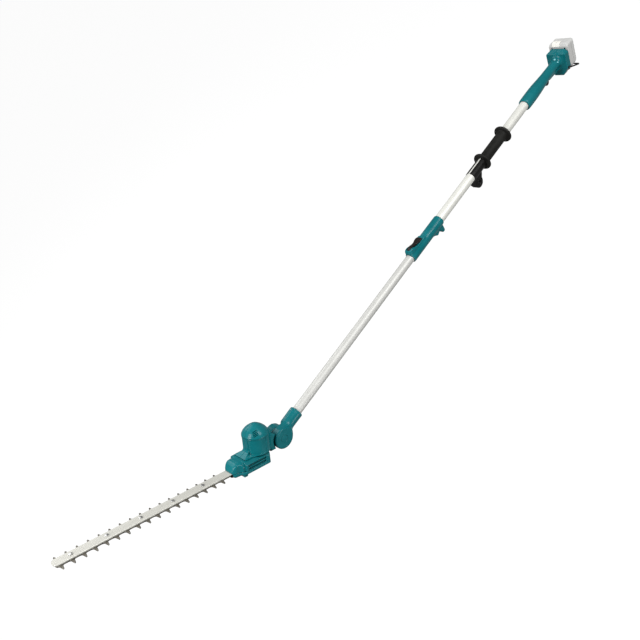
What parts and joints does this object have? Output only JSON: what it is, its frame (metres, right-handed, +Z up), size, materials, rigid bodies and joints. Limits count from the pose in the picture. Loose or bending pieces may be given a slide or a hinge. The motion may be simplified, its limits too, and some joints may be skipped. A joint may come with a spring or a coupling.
{
  "type": "pole hedge trimmer",
  "caption": "Cordless pole hedge trimmer: telescopic tube with a tilting double-sided cutter head in front and a trigger handle with a slide-on battery at the rear.",
  "frame": {"origin": "centre of the strap eye under the pole", "axes": "+X along the pole from the battery to the blade, +Y along the strap eye and the tilt pivot, towards the left hand of a user who faces +X, +Z up, on the side of the motor housing"},
  "size_m": [2.2951, 0.0884, 0.39],
  "materials": {
    "tube_alu": "clear satin anodised",
    "teal_plastic": "fine moulded texture",
    "black_plastic": "fine moulded texture",
    "black_rubber": "matt, fine ribbed",
    "steel": "zinc plated",
    "blade_steel": "nickel plated, ground",
    "copper_core": "laminated steel with copper",
    "pack_plastic": "fine moulded texture",
    "white_plastic": "smooth",
    "lens": "smooth",
    "board": "printed circuit laminate",
    "cell": "shrink sleeve",
    "bush": "acetal",
    "black_wire": "black coated spring steel",
    "cable": "smooth jacket"
  },
  "bodies": {
    "pole": {"upper_tube": "tube_alu", "handle_shell_left": "teal_plastic", "handle_shell_right": "teal_plastic", "handle_screws": "steel", "switch_body": "black_plastic", "control_board": "board", "terminal_block": "black_plastic", "indicator_lens": "lens", "grip_sleeve": "black_rubber", "coupling_shell_left": "teal_plastic", "coupling_shell_right": "teal_plastic", "coupling_screws": "steel", "clamp_bush": "bush", "clamp_pad": "bush", "lever_pin": "steel", "cord_coil": "cable", "trigger_pin": "steel"},
    "strap_hanger": {"hanger_clamp": "black_plastic"},
    "front_pole": {"lower_tube": "tube_alu", "guide_bush": "bush", "socket_shell_left": "teal_plastic", "socket_shell_right": "teal_plastic", "socket_screws": "steel", "pivot_bolt": "steel", "pivot_cap": "teal_plastic", "thrust_washer": "black_plastic", "detent_ring": "steel", "cord_lower": "cable"},
    "lock_lever": {"lock_lever": "black_plastic"},
    "head": {"head_shell_left": "teal_plastic", "head_shell_right": "teal_plastic", "head_screws": "steel", "gear_case": "teal_plastic", "under_cover": "teal_plastic", "case_screws": "steel", "motor_can": "steel", "bearing_upper": "steel", "bearing_lower": "steel", "guide_bar": "blade_steel", "bar_bolts": "steel", "bar_nuts": "steel", "nose_guard": "black_plastic", "pivot_nut": "steel", "tilt_spring": "steel"},
    "armature": {"motor_shaft": "steel", "rotor_core": "copper_core", "cooling_fan": "black_plastic"},
    "crank": {"drive_gear": "steel", "crankshaft": "steel"},
    "blade_upper": {"blade_upper": "blade_steel"},
    "blade_lower": {"blade_lower": "blade_steel"},
    "tilt_button": {"tilt_button": "black_plastic"},
    "trigger": {"trigger": "black_plastic"},
    "lock_off_button": {"lock_off_button": "black_plastic"},
    "power_button": {"power_button": "lens"},
    "battery": {"battery_case_inner": "pack_plastic", "battery_case_outer": "pack_plastic", "battery_cells": "cell"},
    "battery_button": {"battery_button": "white_plastic"},
    "storage_hook": {"storage_hook": "black_wire"}
  },
  "joints": [
    {"name": "telescope", "type": "slide", "parent": "pole", "child": "front_pole", "axis": [1, 0, 0], "range_m": [-0.42, 0], "deforming": ["cord_coil"]},
    {"name": "lock_lever_hinge", "type": "hinge", "parent": "pole", "child": "lock_lever", "pos_m": [0.377, 0, 0.0655], "axis": [0, 1, 0], "range_deg": [0, 70]},
    {"name": "head_tilt", "type": "hinge", "parent": "front_pole", "child": "head", "pos_m": [1.07, 0, 0.042], "axis": [0, -1, 0], "range_deg": [-102.6, 12.4]},
    {"name": "tilt_button_press", "type": "slide", "parent": "head", "child": "tilt_button", "axis": [0, 1, 0], "range_m": [0, 0.004], "stiffness_N_per_m": 1500, "deforming": ["tilt_spring"]},
    {"name": "crank_spin", "type": "hinge", "parent": "head", "child": "crank", "pos_m": [1.17841, 0, 0.07572], "axis": [-0.5388, 0, 0.8425], "continuous": true},
    {"name": "armature_spin", "type": "hinge", "parent": "head", "child": "armature", "pos_m": [1.12679, 0, 0.09612], "axis": [-0.5388, 0, 0.8425], "continuous": true},
    {"name": "blade_upper_slide", "type": "slide", "parent": "head", "child": "blade_upper", "axis": [0.8425, 0, 0.5388], "range_m": [-0.0065, 0.0065]},
    {"name": "blade_lower_slide", "type": "slide", "parent": "head", "child": "blade_lower", "axis": [0.8425, 0, 0.5388], "range_m": [-0.0065, 0.0065]},
    {"name": "trigger_pull", "type": "hinge", "parent": "pole", "child": "trigger", "pos_m": [-0.46, 0, 0.032], "axis": [0, 1, 0], "range_deg": [0, 8], "stiffness_Nm_per_rad": 0.6},
    {"name": "lock_off_press", "type": "slide", "parent": "pole", "child": "lock_off_button", "axis": [0, 1, 0], "range_m": [0, 0.003], "stiffness_N_per_m": 500},
    {"name": "power_button_press", "type": "slide", "parent": "pole", "child": "power_button", "axis": [0, -0.2588, -0.9659], "range_m": [0, 0.0012], "stiffness_N_per_m": 500},
    {"name": "battery_slide", "type": "slide", "parent": "pole", "child": "battery", "axis": [-0.1219, 0, 0.9925], "range_m": [0, 0.11]},
    {"name": "battery_button_press", "type": "slide", "parent": "battery", "child": "battery_button", "axis": [-0.9925, 0, -0.1219], "range_m": [0, 0.0025], "stiffness_N_per_m": 800},
    {"name": "strap_hanger_slide", "type": "slide", "parent": "pole", "child": "strap_hanger", "axis": [1, 0, 0], "range_m": [0, 0.15]},
    {"name": "storage_hook_swing", "type": "hinge", "parent": "pole", "child": "storage_hook", "pos_m": [-0.575, 0, 0.015], "axis": [0, 1, 0], "range_deg": [-64, 20]}
  ],
  "couplings": [
    {"joint": "armature_spin", "follows": "crank_spin", "ratio": -4.2},
    {"joint": "blade_lower_slide", "follows": "blade_upper_slide", "ratio": -1}
  ]
}
